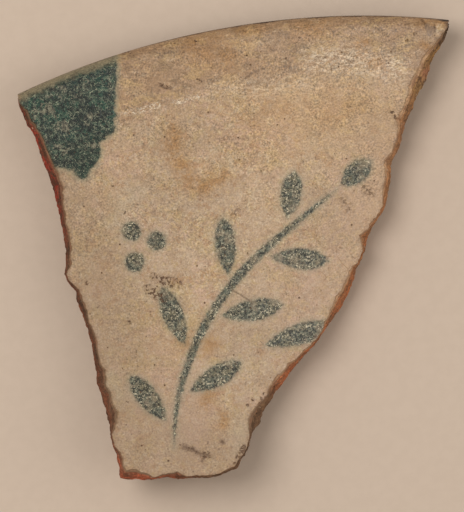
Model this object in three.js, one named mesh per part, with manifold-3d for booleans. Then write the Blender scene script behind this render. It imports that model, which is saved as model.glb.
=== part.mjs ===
// A rim sherd of a shallow glazed earthenware bowl, lying on its convex back with the
// glazed hollow up. Millimetres: +Z up, +X along the rim, +Y outwards across the rim.
// The origin is the middle of the worn spot on the back that the sherd rests on.
import * as THREE from 'three';
import { mergeVertices } from 'three/addons/utils/BufferGeometryUtils.js';
import Module from 'manifold-3d';

const wasm = await Module();
wasm.setup();

const { degToRad, lerp } = THREE.MathUtils;

// The bowl's wall, followed from the lip down its hollow side. The slopes are those of the
// standing bowl: a flat band inside the lip, a shoulder, then a wall that eases to the floor.
const rimRadius = 115;
const bandRun = 8;
const shoulderRun = 2.5;
const bandSlope = degToRad(27);
const upperSlope = degToRad(40);
const lowerSlope = degToRad(13);
const lipWall = 5;
const lowerWall = 7;

// Coats on the clay
const glazeCoat = 0.4;
const slipCoat = 0.4;
const outerCoat = 0.4;

// The sherd and its breaks; the wall is followed a little past the foot of the sherd
const sherdHalfWidth = 37.3;
const sherdHeight = 73.1;
const breakLean = 6.5;
const breakGrain = 0.22;
const wallPastFoot = 7.4;

// How it lies: the way from the lip to the place that lies level, and the depth of the flat
// that is worn there
const restRun = 28.5;
const restWear = 0.25;

// Brush strokes
const stemWidth = 1.7;
const leafLength = 10;
const leafWidth = 4.1;
const leafGap = 0.6;
const berryRadius = 1.75;

// How far the cutting blocks run past what they cut
const cutOverrun = 12;

// Counts
const turnSegments = 144;
const bandSteps = 2;
const shoulderSteps = 3;
const wallSteps = 14;
const noseSteps = 6;
const heightSteps = 34;
const stemSteps = 20;
const leafSteps = 6;
const berrySteps = 10;

// The break line of the glazed face, as shares: across from the middle of the rim in half
// widths, down from the crest of the rim in heights, and how far the broken clay stands out
// below it in lengths of breakLean. It runs down the left, along the foot and up the right.
const breakLineShares = [
  [-0.997, 0.070, 0.01], [-0.990, 0.090, 0.05], [-0.963, 0.113, 0.14], [-0.953, 0.138, 0.13],
  [-0.919, 0.168, 0.18], [-0.908, 0.189, 0.21], [-0.890, 0.226, 0.24], [-0.874, 0.265, 0.26],
  [-0.861, 0.297, 0.26], [-0.874, 0.346, 0.18], [-0.876, 0.376, 0.14], [-0.866, 0.412, 0.18],
  [-0.875, 0.452, 0.15], [-0.895, 0.485, 0.10], [-0.915, 0.502, 0.03], [-0.908, 0.517, 0.04],
  [-0.868, 0.543, 0.10], [-0.867, 0.561, 0.11], [-0.848, 0.599, 0.13], [-0.846, 0.622, 0.11],
  [-0.827, 0.661, 0.17], [-0.832, 0.680, 0.14], [-0.829, 0.720, 0.17], [-0.814, 0.738, 0.25],
  [-0.818, 0.775, 0.24], [-0.800, 0.791, 0.30], [-0.802, 0.823, 0.26], [-0.791, 0.839, 0.31],
  [-0.799, 0.864, 0.26], [-0.833, 0.888, 0.05], [-0.830, 0.916, 0.03], [-0.808, 0.932, 0.13],
  [-0.801, 0.944, 0.17], [-0.805, 0.963, 0.13], [-0.795, 0.974, 0.31], [-0.750, 0.980, 0.21],
  [-0.707, 0.989, 0.20], [-0.675, 1.002, 0.04], [-0.623, 0.999, 0.07], [-0.567, 0.998, 0.16],
  [-0.531, 1.013, 0.05], [-0.485, 1.014, 0.05], [-0.436, 1.021, 0.04], [-0.385, 1.020, 0.03],
  [-0.346, 1.013, 0.08], [-0.307, 1.008, 0.08], [-0.289, 0.997, 0.05], [-0.259, 0.983, 0.03],
  [-0.233, 0.966, 0.03], [-0.220, 0.941, 0.06], [-0.221, 0.918, 0.31], [-0.199, 0.894, 0.31],
  [-0.163, 0.877, 0.24], [-0.125, 0.866, 0.16], [-0.102, 0.853, 0.17], [-0.090, 0.840, 0.24],
  [-0.039, 0.818, 0.20], [0.024, 0.795, 0.14], [0.086, 0.776, 0.09], [0.143, 0.759, 0.04],
  [0.188, 0.732, 0.07], [0.213, 0.715, 0.09], [0.261, 0.675, 0.21], [0.313, 0.644, 0.20],
  [0.339, 0.623, 0.19], [0.372, 0.597, 0.13], [0.402, 0.593, 0.05], [0.434, 0.567, 0.04],
  [0.434, 0.541, 0.14], [0.431, 0.530, 0.21], [0.484, 0.515, 0.07], [0.534, 0.490, 0.04],
  [0.557, 0.469, 0.07], [0.569, 0.435, 0.16], [0.597, 0.402, 0.13], [0.597, 0.367, 0.24],
  [0.637, 0.351, 0.13], [0.669, 0.326, 0.13], [0.685, 0.299, 0.17], [0.682, 0.277, 0.30],
  [0.712, 0.266, 0.21], [0.754, 0.230, 0.22], [0.768, 0.208, 0.31], [0.803, 0.181, 0.33],
  [0.849, 0.147, 0.29], [0.905, 0.125, 0.17], [0.946, 0.107, 0.12], [0.981, 0.092, 0.04],
  [0.999, 0.074, 0.01],
];

// How the broken clay swells from the glazed face to the back: depth as a share of the
// wall, and the share of the lean that is reached there
const swellShares = [[0, 0], [0.16, 0.45], [0.38, 0.85], [0.62, 1], [0.85, 0.9], [1, 0.7]];

// The green run of glaze, in the same across and down shares; its top is past the lip and
// its left end past the break, where the glaze ends
const splashShares = [
  [-1.100, -0.050], [-0.510, -0.050], [-0.525, 0.040], [-0.544, 0.084], [-0.574, 0.165],
  [-0.592, 0.198], [-0.622, 0.206], [-0.667, 0.216], [-0.662, 0.241], [-0.697, 0.263],
  [-0.738, 0.284], [-0.768, 0.293], [-0.792, 0.283], [-0.801, 0.269], [-0.840, 0.262],
  [-0.866, 0.259], [-0.985, 0.251], [-1.100, 0.182],
];

// The painted spray: the stem's way, and each leaf's place along the stem, its side (0 ahead
// of the tip), the angle that it splays by, and its length as a share of leafLength
const stemShares = [
  [-0.567, 0.944], [-0.512, 0.835], [-0.363, 0.695], [-0.137, 0.573], [0.124, 0.486],
  [0.371, 0.413],
];
const leafRows = [
  { alongShare: 0.08, side: 1, splay: degToRad(42), lengthShare: 1 },
  { alongShare: 0.19, side: -1, splay: degToRad(46), lengthShare: 1.05 },
  { alongShare: 0.32, side: 1, splay: degToRad(44), lengthShare: 1.1 },
  { alongShare: 0.45, side: -1, splay: degToRad(48), lengthShare: 1.1 },
  { alongShare: 0.57, side: 1, splay: degToRad(44), lengthShare: 1 },
  { alongShare: 0.70, side: -1, splay: degToRad(46), lengthShare: 1 },
  { alongShare: 0.82, side: 1, splay: degToRad(40), lengthShare: 0.85 },
  { alongShare: 1, side: 0, splay: degToRad(0), lengthShare: 0.7 },
];
const berryShares = [[-0.590, 0.430], [-0.485, 0.462], [-0.600, 0.502]];
// One more leaf that the right break cuts through
const cutLeafBaseShares = [-0.080, 0.745];
const cutLeafTurn = degToRad(8);
const cutLeafLengthShare = 1.2;

// A leaf's outline bends towards these points, as shares of its length and its width
const leafBendShares = { early: [0.22, 0.5], late: [0.8, 0.72] };

const fullRun = sherdHeight + wallPastFoot;
const wallRun = fullRun - bandRun - shoulderRun;

function slopeAt(run) {
  if (run < bandRun) {
    return bandSlope;
  }
  if (run < bandRun + shoulderRun) {
    return lerp(bandSlope, upperSlope, (run - bandRun) / shoulderRun);
  }
  return lerp(upperSlope, lowerSlope, (run - bandRun - shoulderRun) / wallRun);
}

function wallAt(run) {
  return lerp(lipWall, lowerWall, run / fullRun);
}

// The stations of the hollow face, with x the distance from the bowl's axis and y the height
function makeStations() {
  const start = new THREE.Vector2(rimRadius - (lipWall / 2) * (1 + Math.sin(bandSlope)), 0);
  const stations = [{ run: 0, point: start }];
  const stretches = [[bandRun, bandSteps], [shoulderRun, shoulderSteps], [wallRun, wallSteps]];
  for (const [length, steps] of stretches) {
    for (let step = 0; step < steps; step += 1) {
      const last = stations.at(-1);
      const stride = length / steps;
      const slope = slopeAt(last.run + stride / 2);
      const move = new THREE.Vector2(-Math.cos(slope), -Math.sin(slope)).multiplyScalar(stride);
      stations.push({ run: last.run + stride, point: last.point.clone().add(move) });
    }
  }
  return stations;
}

const stations = makeStations();

// A station's point sunk into the wall by a depth below the hollow face
function sunk(station, depth) {
  const slope = slopeAt(station.run);
  const down = new THREE.Vector2(Math.sin(slope), -Math.cos(slope));
  return station.point.clone().addScaledVector(down, depth);
}

// The hollow face and the back, from the lip inwards, each under a coat of a given thickness
function hollowFace(coat) {
  return stations.map((station) => sunk(station, coat));
}

function backFace(coat) {
  return stations.map((station) => sunk(station, wallAt(station.run) - coat));
}

// The round nose of the lip, from the back's end to the hollow's end
function nose(backEnd, hollowEnd) {
  const middle = backEnd.clone().lerp(hollowEnd, 1 / 2);
  const spoke = backEnd.clone().sub(middle);
  const points = [];
  for (let step = 1; step < noseSteps; step += 1) {
    const turn = (Math.PI * step) / noseSteps;
    const point = spoke.clone().rotateAround(new THREE.Vector2(), turn).add(middle);
    points.push(point);
  }
  return points;
}

// How the standing bowl is tipped so that the wall lies level at restRun
const tilt = slopeAt(restRun);

// A place on the wall's meridian at the sherd's middle, once the bowl is tipped
function tipped(point) {
  return new THREE.Vector2(
    point.x * Math.cos(tilt) + point.y * Math.sin(tilt),
    point.y * Math.cos(tilt) - point.x * Math.sin(tilt),
  );
}

// The hollow face between two stations
function facePoint(run) {
  const next = Math.max(1, stations.findIndex((station) => station.run >= run));
  const from = stations[next - 1];
  const to = stations[next];
  const share = (run - from.run) / (to.run - from.run);
  return from.point.clone().lerp(to.point, share);
}

const restBack = sunk({ run: restRun, point: facePoint(restRun) }, wallAt(restRun));
const restPlace = tipped(restBack);
restPlace.y += restWear;

const lipMiddle = sunk(stations[0], lipWall / 2);
const rimPlan = tipped(lipMiddle).x + lipWall / 2 - restPlace.x;

// Outline shares turned into a place seen from above
function planPlace([acrossShare, downShare]) {
  return new THREE.Vector2(acrossShare * sherdHalfWidth, rimPlan - downShare * sherdHeight);
}

// The height of the hollow face over a place seen from above, and how far down the wall it is
function faceOver(place) {
  let near = 0;
  let far = fullRun;
  for (let step = 0; step < heightSteps; step += 1) {
    const run = (near + far) / 2;
    const point = facePoint(run);
    const out = Math.sqrt(Math.max(point.x * point.x - place.x * place.x, 0));
    const planY = out * Math.cos(tilt) + point.y * Math.sin(tilt) - restPlace.x;
    if (planY > place.y) {
      near = run;
    } else {
      far = run;
    }
  }
  const point = facePoint(near);
  const out = Math.sqrt(Math.max(point.x * point.x - place.x * place.x, 0));
  const height = point.y * Math.cos(tilt) - out * Math.sin(tilt) - restPlace.y;
  return { run: near, height };
}

// A closed mesh of shared vertices made into a solid, and back
function toSolid(geometry) {
  geometry.deleteAttribute('normal');
  geometry.deleteAttribute('uv');
  const merged = mergeVertices(geometry);
  return new wasm.Manifold(new wasm.Mesh({
    numProp: 3,
    vertProperties: Float32Array.from(merged.attributes.position.array),
    triVerts: Uint32Array.from(merged.index.array),
  }));
}

function toGeometry(solid) {
  const { vertProperties, triVerts } = solid.getMesh();
  const geometry = new THREE.BufferGeometry();
  geometry.setAttribute('position', new THREE.BufferAttribute(vertProperties, 3));
  geometry.setIndex(new THREE.BufferAttribute(triVerts, 1));
  geometry.computeVertexNormals();
  return geometry;
}

// A ring of the bowl turned from a closed profile, tipped and set down on its worn spot
function turned(profile) {
  const ring = new THREE.LatheGeometry([...profile, profile[0]], turnSegments);
  ring.rotateX(Math.PI / 2 - tilt);
  ring.translate(0, -restPlace.x, -restPlace.y);
  return toSolid(ring);
}

// The block that the breaks leave of the ring: upright above the glazed face, then swelling
// and grainy down the broken clay
function breakBlock() {
  const line = breakLineShares.map((row) => {
    const place = planPlace(row);
    return { place, lean: row[2] * breakLean, over: faceOver(place) };
  });
  const ends = [line.at(-1), line[0]].map((end) => {
    const place = end.place.clone();
    place.y += cutOverrun;
    return { place, lean: 0, over: end.over };
  });
  const outline = [...line, ...ends];
  const outwards = outline.map((_, index) => {
    const ahead = outline[(index + 2) % outline.length].place;
    const behind = outline.at(index - 2).place;
    const along = ahead.clone().sub(behind).normalize();
    return new THREE.Vector2(along.y, -along.x);
  });
  const swollen = (index, swell, grain) => {
    const { place, lean } = outline[index];
    const rough = grain * breakGrain * Math.sin(index * index + swell);
    return place.clone().addScaledVector(outwards[index], lean * swell + rough * swell);
  };
  const levels = swellShares.map(([depthShare, swell], level) => outline.map((item, index) => {
    const plan = swollen(index, swell, Math.cos(level * level));
    const height = item.over.height - depthShare * wallAt(item.over.run);
    return new THREE.Vector3(plan.x, plan.y, height);
  }));
  const top = levels[0].map((point) => new THREE.Vector3(point.x, point.y, cutOverrun * 2));
  const foot = levels.at(-1).map((point) => new THREE.Vector3(point.x, point.y, -cutOverrun));
  return toSolid(loft([top, ...levels, foot]));
}

// Rings of points, listed from the top one down and counterclockwise from above, closed
// into a body with a flat cap at both ends
function loft(rings) {
  const count = rings[0].length;
  const positions = rings.flat().flatMap((point) => point.toArray());
  const faces = [];
  for (let level = 0; level < rings.length - 1; level += 1) {
    for (let index = 0; index < count; index += 1) {
      const next = (index + 1) % count;
      const upper = level * count;
      const lower = upper + count;
      faces.push(lower + index, lower + next, upper + next);
      faces.push(lower + index, upper + next, upper + index);
    }
  }
  const flat = (ring) => ring.map((point) => new THREE.Vector2(point.x, point.y));
  for (const [a, b, c] of THREE.ShapeUtils.triangulateShape(flat(rings[0]), [])) {
    faces.push(a, b, c);
  }
  const last = (rings.length - 1) * count;
  for (const [a, b, c] of THREE.ShapeUtils.triangulateShape(flat(rings.at(-1)), [])) {
    faces.push(last + c, last + b, last + a);
  }
  const geometry = new THREE.BufferGeometry();
  geometry.setAttribute('position', new THREE.Float32BufferAttribute(positions, 3));
  geometry.setIndex(faces);
  return geometry;
}

// A flat shape seen from above made into a block that goes right through the glaze
function through(shape) {
  const depth = cutOverrun * 3;
  const options = { depth, curveSegments: berrySteps, bevelEnabled: false };
  const block = new THREE.ExtrudeGeometry(shape, options);
  block.translate(0, 0, -cutOverrun);
  return toSolid(block);
}

// A brush leaf: pointed where the brush lands, full in the middle, blunt where it lifts
function leafShape(base, turn, length) {
  const at = (along, aside) => new THREE.Vector2(along * length, aside * leafWidth)
    .rotateAround(new THREE.Vector2(), turn).add(base);
  const [earlyAlong, earlyAside] = leafBendShares.early;
  const [lateAlong, lateAside] = leafBendShares.late;
  const tip = at(1, 0);
  const right = [at(earlyAlong, -earlyAside), at(lateAlong, -lateAside)];
  const left = [at(lateAlong, lateAside), at(earlyAlong, earlyAside)];
  const outline = new THREE.CurvePath();
  outline.add(new THREE.CubicBezierCurve(base, ...right, tip));
  outline.add(new THREE.CubicBezierCurve(tip, ...left, base));
  return new THREE.Shape(outline.getPoints(leafSteps));
}

const stemCurve = new THREE.SplineCurve(stemShares.map(planPlace));

// The stem: a thin stroke that fades out to a point at both ends
function stemShape() {
  const sides = [-1, 1].map((side) => {
    const points = [];
    for (let step = 1; step < stemSteps; step += 1) {
      const share = step / stemSteps;
      const along = stemCurve.getTangentAt(share);
      const half = (stemWidth / 2) * Math.sqrt(Math.sin(Math.PI * share));
      const aside = new THREE.Vector2(-along.y, along.x).multiplyScalar(side * half);
      points.push(stemCurve.getPointAt(share).add(aside));
    }
    return points;
  });
  const [right, left] = sides;
  const outline = [stemCurve.getPointAt(0), ...right, stemCurve.getPointAt(1), ...left.reverse()];
  return new THREE.Shape(outline);
}

function stemLeafShape({ alongShare, side, splay, lengthShare }) {
  const along = stemCurve.getTangentAt(alongShare);
  const aside = new THREE.Vector2(-along.y, along.x);
  const base = stemCurve.getPointAt(alongShare);
  base.addScaledVector(aside, side * (stemWidth / 2 + leafGap));
  base.addScaledVector(along, (1 - Math.abs(side)) * leafGap);
  return leafShape(base, along.angle() + side * splay, leafLength * lengthShare);
}

function berryShape(shares) {
  const middle = planPlace(shares);
  const shape = new THREE.Shape();
  shape.absarc(middle.x, middle.y, berryRadius, 0, Math.PI * 2);
  return shape;
}

// The turned rings, each a coat or the clay, before the breaks
const underSlip = glazeCoat + slipCoat;
const lipEnd = stations[0];
const clayBack = backFace(outerCoat);
const clayHollow = hollowFace(underSlip);
const clayNose = nose(clayBack[0], clayHollow[0]);
const outerBack = backFace(0);
const outerHollow = hollowFace(0);
const backwards = (points) => [...points].reverse();

const rings = {
  clay: turned([...backwards(clayBack), ...clayNose, ...clayHollow]),
  slip: turned([...backwards(clayHollow), ...hollowFace(glazeCoat)]),
  glaze: turned([...backwards(hollowFace(glazeCoat)), ...outerHollow]),
  outer: turned([...backwards(outerBack), ...clayBack]),
  lip: turned([
    sunk(lipEnd, lipWall),
    ...nose(outerBack[0], outerHollow[0]),
    sunk(lipEnd, 0),
    sunk(lipEnd, underSlip),
    ...backwards(clayNose),
    sunk(lipEnd, lipWall - outerCoat),
  ]),
};

const block = breakBlock();
const ground = toSolid(new THREE.BoxGeometry(rimRadius, rimRadius, cutOverrun)
  .translate(0, 0, -cutOverrun / 2));

// The strokes that are let into the glaze
const strokes = [
  { name: 'green_splash', cutter: through(new THREE.Shape(splashShares.map(planPlace))) },
  { name: 'painted_stem', cutter: through(stemShape()) },
  ...leafRows.map((row, index) => ({
    name: `painted_leaf_${index + 1}`,
    cutter: through(stemLeafShape(row)),
  })),
  {
    name: 'painted_leaf_at_break',
    cutter: through(
      leafShape(planPlace(cutLeafBaseShares), cutLeafTurn, leafLength * cutLeafLengthShare),
    ),
  },
  ...berryShares.map((shares, index) => ({
    name: `painted_berry_${index + 1}`,
    cutter: through(berryShape(shares)),
  })),
];

const wholeGlaze = rings.glaze.intersect(block);
const bareGlaze = strokes.reduce((left, { cutter }) => left.subtract(cutter), wholeGlaze);

const finishes = {
  clay: { color: '#a5603d', roughness: 0.95 },
  slip: { color: '#d9c4a4', roughness: 0.9 },
  glaze: { color: '#b09375', roughness: 0.42 },
  lip: { color: '#84664b', roughness: 0.55 },
  outer: { color: '#b39a7c', roughness: 0.5 },
  green: { color: '#3f5f4e', roughness: 0.4 },
  paint: { color: '#6f6d5b', roughness: 0.45 },
};

function piece(name, solid, finish) {
  const material = new THREE.MeshStandardMaterial({ metalness: 0, ...finishes[finish] });
  const mesh = new THREE.Mesh(toGeometry(solid), material);
  mesh.name = name;
  return mesh;
}

const sherd = new THREE.Group();
sherd.add(
  piece('clay_body', rings.clay.intersect(block).subtract(ground), 'clay'),
  piece('slip_coat', rings.slip.intersect(block), 'slip'),
  piece('inner_glaze', bareGlaze, 'glaze'),
  piece('lip_glaze', rings.lip.intersect(block), 'lip'),
  piece('outer_glaze', rings.outer.intersect(block).subtract(ground), 'outer'),
);
for (const { name, cutter } of strokes) {
  const finish = name === 'green_splash' ? 'green' : 'paint';
  sherd.add(piece(name, wholeGlaze.intersect(cutter), finish));
}

export default sherd;
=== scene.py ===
import math

import bmesh
import bpy
import numpy as np
from mathutils import Matrix, Vector, noise


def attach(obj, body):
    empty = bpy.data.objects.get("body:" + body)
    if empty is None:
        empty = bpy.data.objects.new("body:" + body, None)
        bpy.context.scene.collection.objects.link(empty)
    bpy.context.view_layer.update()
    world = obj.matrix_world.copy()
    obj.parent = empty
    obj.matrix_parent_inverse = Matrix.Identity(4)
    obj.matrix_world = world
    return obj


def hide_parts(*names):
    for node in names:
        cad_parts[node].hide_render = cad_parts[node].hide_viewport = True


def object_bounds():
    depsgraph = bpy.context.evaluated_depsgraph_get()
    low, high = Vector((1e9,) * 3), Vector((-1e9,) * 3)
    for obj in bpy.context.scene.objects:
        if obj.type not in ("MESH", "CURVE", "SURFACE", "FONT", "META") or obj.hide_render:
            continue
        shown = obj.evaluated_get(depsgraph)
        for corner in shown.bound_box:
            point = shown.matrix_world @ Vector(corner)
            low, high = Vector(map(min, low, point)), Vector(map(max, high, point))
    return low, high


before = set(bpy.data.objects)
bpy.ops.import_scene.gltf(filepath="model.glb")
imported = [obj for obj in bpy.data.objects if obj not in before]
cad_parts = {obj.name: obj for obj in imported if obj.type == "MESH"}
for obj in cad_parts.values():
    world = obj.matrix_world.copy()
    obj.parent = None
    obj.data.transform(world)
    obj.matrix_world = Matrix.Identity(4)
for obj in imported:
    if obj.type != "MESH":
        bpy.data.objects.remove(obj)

cadLow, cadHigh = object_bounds()
scene = bpy.context.scene

# Everything is modelled in millimetres and brought to metres when a piece is finished.
# X runs along the rim, Y outwards across it, Z up out of the hollow.

bowl = {
    "rimRadius": 115, "bandRun": 8, "shoulderRun": 2.5,
    "bandSlope": math.radians(27), "upperSlope": math.radians(40), "lowerSlope": math.radians(13),
    "lipWall": 5, "lowerWall": 7, "fullRun": 80.5,
    "restRun": 28.5, "restWear": 0.25,
    "glaze": 0.4, "slip": 0.4, "outer": 0.4,
}
sherd = {"halfWidth": 37.3, "height": 73.1, "lean": 6.5, "cellAlong": 0.26, "levels": 26}
fine = {
    "profile": 0.30, "backProfile": 0.39, "hidden": 1.6, "nose": 26, "hiddenNose": 16,
    "turns": 470, "margin": math.radians(6), "sharp": math.radians(42),
}

# The broken edge of the glazed face: across in half widths, down in heights, and how far the
# clay stands out below it. Down the left, along the foot and up the right.
breakLine = [
    (-0.997, 0.070, 0.01), (-0.990, 0.090, 0.05), (-0.963, 0.113, 0.14), (-0.953, 0.138, 0.13),
    (-0.919, 0.168, 0.18), (-0.908, 0.189, 0.21), (-0.890, 0.226, 0.24), (-0.874, 0.265, 0.26),
    (-0.861, 0.297, 0.26), (-0.874, 0.346, 0.18), (-0.876, 0.376, 0.14), (-0.866, 0.412, 0.18),
    (-0.875, 0.452, 0.15), (-0.895, 0.485, 0.10), (-0.915, 0.502, 0.03), (-0.908, 0.517, 0.04),
    (-0.868, 0.543, 0.10), (-0.867, 0.561, 0.11), (-0.848, 0.599, 0.13), (-0.846, 0.622, 0.11),
    (-0.827, 0.661, 0.17), (-0.832, 0.680, 0.14), (-0.829, 0.720, 0.17), (-0.814, 0.738, 0.25),
    (-0.818, 0.775, 0.24), (-0.800, 0.791, 0.30), (-0.802, 0.823, 0.26), (-0.791, 0.839, 0.31),
    (-0.799, 0.864, 0.26), (-0.833, 0.888, 0.05), (-0.830, 0.916, 0.03), (-0.808, 0.932, 0.13),
    (-0.801, 0.944, 0.17), (-0.805, 0.963, 0.13), (-0.795, 0.974, 0.31), (-0.750, 0.980, 0.21),
    (-0.707, 0.989, 0.20), (-0.675, 1.002, 0.04), (-0.623, 0.999, 0.07), (-0.567, 0.998, 0.16),
    (-0.531, 1.013, 0.05), (-0.485, 1.014, 0.05), (-0.436, 1.021, 0.04), (-0.385, 1.020, 0.03),
    (-0.346, 1.013, 0.08), (-0.307, 1.008, 0.08), (-0.289, 0.997, 0.05), (-0.259, 0.983, 0.03),
    (-0.233, 0.966, 0.03), (-0.220, 0.941, 0.06), (-0.221, 0.918, 0.31), (-0.199, 0.894, 0.31),
    (-0.163, 0.877, 0.24), (-0.125, 0.866, 0.16), (-0.102, 0.853, 0.17), (-0.090, 0.840, 0.24),
    (-0.039, 0.818, 0.20), (0.024, 0.795, 0.14), (0.086, 0.776, 0.09), (0.143, 0.759, 0.04),
    (0.188, 0.732, 0.07), (0.213, 0.715, 0.09), (0.261, 0.675, 0.21), (0.313, 0.644, 0.20),
    (0.339, 0.623, 0.19), (0.372, 0.597, 0.13), (0.402, 0.593, 0.05), (0.434, 0.567, 0.04),
    (0.434, 0.541, 0.14), (0.431, 0.530, 0.21), (0.484, 0.515, 0.07), (0.534, 0.490, 0.04),
    (0.557, 0.469, 0.07), (0.569, 0.435, 0.16), (0.597, 0.402, 0.13), (0.597, 0.367, 0.24),
    (0.637, 0.351, 0.13), (0.669, 0.326, 0.13), (0.685, 0.299, 0.17), (0.682, 0.277, 0.30),
    (0.712, 0.266, 0.21), (0.754, 0.230, 0.22), (0.768, 0.208, 0.31), (0.803, 0.181, 0.33),
    (0.849, 0.147, 0.29), (0.905, 0.125, 0.17), (0.946, 0.107, 0.12), (0.981, 0.092, 0.04),
    (0.999, 0.074, 0.01),
]
swell = [(0, 0), (0.16, 0.45), (0.38, 0.85), (0.62, 1), (0.85, 0.9), (1, 0.7)]

splashLine = [
    (-1.100, -0.050), (-0.510, -0.050), (-0.525, 0.040), (-0.544, 0.084), (-0.574, 0.165),
    (-0.592, 0.198), (-0.622, 0.206), (-0.667, 0.216), (-0.662, 0.241), (-0.697, 0.263),
    (-0.738, 0.284), (-0.768, 0.293), (-0.792, 0.283), (-0.801, 0.269), (-0.840, 0.262),
    (-0.866, 0.259), (-0.985, 0.251), (-1.100, 0.182),
]
spray = {
    "stem": [(-0.567, 0.944), (-0.512, 0.835), (-0.363, 0.695), (-0.137, 0.573),
             (0.124, 0.486), (0.371, 0.413)],
    "stemWidth": 1.7, "leafLength": 10, "leafWidth": 4.1, "gap": 0.6, "berryRadius": 1.75,
    "stemSteps": 60, "leafSteps": 14, "berrySteps": 28,
    "leafHandles": ((0.22, 0.5), (0.8, 0.72)),  # of a leaf's side, in lengths and widths
    # along the stem, side, splay and size
    "leaves":[(0.08, 1, 42, 1), (0.19, -1, 46, 1.05), (0.32, 1, 44, 1.1), (0.45, -1, 48, 1.1),
               (0.57, 1, 44, 1), (0.70, -1, 46, 1), (0.82, 1, 40, 0.85), (1, 0, 0, 0.7)],
    "berries": [(-0.590, 0.430), (-0.485, 0.462), (-0.600, 0.502)],
    "cutLeaf": ((-0.080, 0.745), 8, 1.2),  # base, turn and size
}


def slopeAt(run):
    run = np.asarray(run, float)
    band, shoulder = bowl["bandRun"], bowl["shoulderRun"]
    mixed = np.interp(run, [band, band + shoulder], [bowl["bandSlope"], bowl["upperSlope"]])
    rest = np.clip((run - band - shoulder) / (bowl["fullRun"] - band - shoulder), 0, 1)
    wall = bowl["upperSlope"] + (bowl["lowerSlope"] - bowl["upperSlope"]) * rest
    return np.where(run > band + shoulder, wall, mixed)


def wallAt(run):
    thicker = (bowl["lowerWall"] - bowl["lipWall"]) * np.asarray(run) / bowl["fullRun"]
    return bowl["lipWall"] + thicker


def walkWall(stride):
    count = int(round(bowl["fullRun"] / stride))
    runs = np.linspace(0, bowl["fullRun"], count + 1)
    mids = slopeAt((runs[1:] + runs[:-1]) / 2)
    step = bowl["fullRun"] / count
    radii = bowl["rimRadius"] - bowl["lipWall"] / 2 * (1 + math.sin(bowl["bandSlope"]))
    radii = radii - np.concatenate([[0], np.cumsum(np.cos(mids))]) * step
    heights = -np.concatenate([[0], np.cumsum(np.sin(mids))]) * step
    return runs, radii, heights


wallRuns, wallRadii, wallHeights = walkWall(0.1)
tilt = float(slopeAt(bowl["restRun"]))


def sunkPoint(run, depth):
    radius = np.interp(run, wallRuns, wallRadii) + depth * np.sin(slopeAt(run))
    height = np.interp(run, wallRuns, wallHeights) - depth * np.cos(slopeAt(run))
    return radius, height


restRadius, restHeight = sunkPoint(bowl["restRun"], float(wallAt(bowl["restRun"])))
restY = float(restRadius * math.cos(tilt) + restHeight * math.sin(tilt))
restZ = float(restHeight * math.cos(tilt) - restRadius * math.sin(tilt)) + bowl["restWear"]
lipRadius, lipHeight = sunkPoint(0, bowl["lipWall"] / 2)
rimY = float(lipRadius * math.cos(tilt) + lipHeight * math.sin(tilt)) + bowl["lipWall"] / 2 - restY
tipped = Matrix.Translation((0, -restY, -restZ)) @ Matrix.Rotation(-tilt, 4, "X")


def planPlace(shares):
    return shares[0] * sherd["halfWidth"], rimY - shares[1] * sherd["height"]


# How far down the wall a place seen from above is, and how high the glazed face lies there
def faceOver(x, y):
    near, far = np.zeros_like(x), np.full_like(x, bowl["fullRun"])
    for _ in range(30):
        run = (near + far) / 2
        radius = np.interp(run, wallRuns, wallRadii)
        height = np.interp(run, wallRuns, wallHeights)
        out = np.sqrt(np.maximum(radius**2 - x**2, 0))
        beyond = out * math.cos(tilt) + height * math.sin(tilt) - restY > y
        near, far = np.where(beyond, run, near), np.where(beyond, far, run)
    return near, height * math.cos(tilt) - out * math.sin(tilt) - restZ


def turnTo(angle, vector):
    c, s = math.cos(angle), math.sin(angle)
    return vector[0] * c - vector[1] * s, vector[0] * s + vector[1] * c


def lengthsAlong(line):
    return np.concatenate([[0], np.cumsum(np.linalg.norm(np.diff(line, axis=0), axis=1))])


def unit(ways):
    return ways / np.maximum(np.linalg.norm(ways, axis=1), 1e-6)[:, None]


def smoothRoute(points, count):
    points = np.array(points)
    ends = np.vstack([2 * points[0] - points[1], points, 2 * points[-1] - points[-2]])
    route = []
    for a, b, c, d in zip(ends, ends[1:], ends[2:], ends[3:]):
        for t in np.linspace(0, 1, 12, endpoint=False):
            route.append(0.5 * (2 * b + (c - a) * t + (2 * a - 5 * b + 4 * c - d) * t**2
                                + (3 * b - a - 3 * c + d) * t**3))
    route = np.array([*route, points[-1]])
    gone = lengthsAlong(route)
    wanted = np.linspace(0, gone[-1], count + 1)
    return np.column_stack([np.interp(wanted, gone, route[:, k]) for k in (0, 1)])


def leafLine(base, turn, length):
    t = np.linspace(0, 1, spray["leafSteps"] + 1)
    low, high = 3 * (1 - t)**2 * t, 3 * (1 - t) * t**2
    (lowAlong, lowAside), (highAlong, highAside) = spray["leafHandles"]
    along = (low * lowAlong + high * highAlong + t**3) * length
    aside = (low * lowAside + high * highAside) * spray["leafWidth"]
    outline = list(zip(along, -aside)) + list(zip(along[-2:0:-1], aside[-2:0:-1]))
    return [tuple(np.add(base, turnTo(turn, point))) for point in outline]


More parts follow.
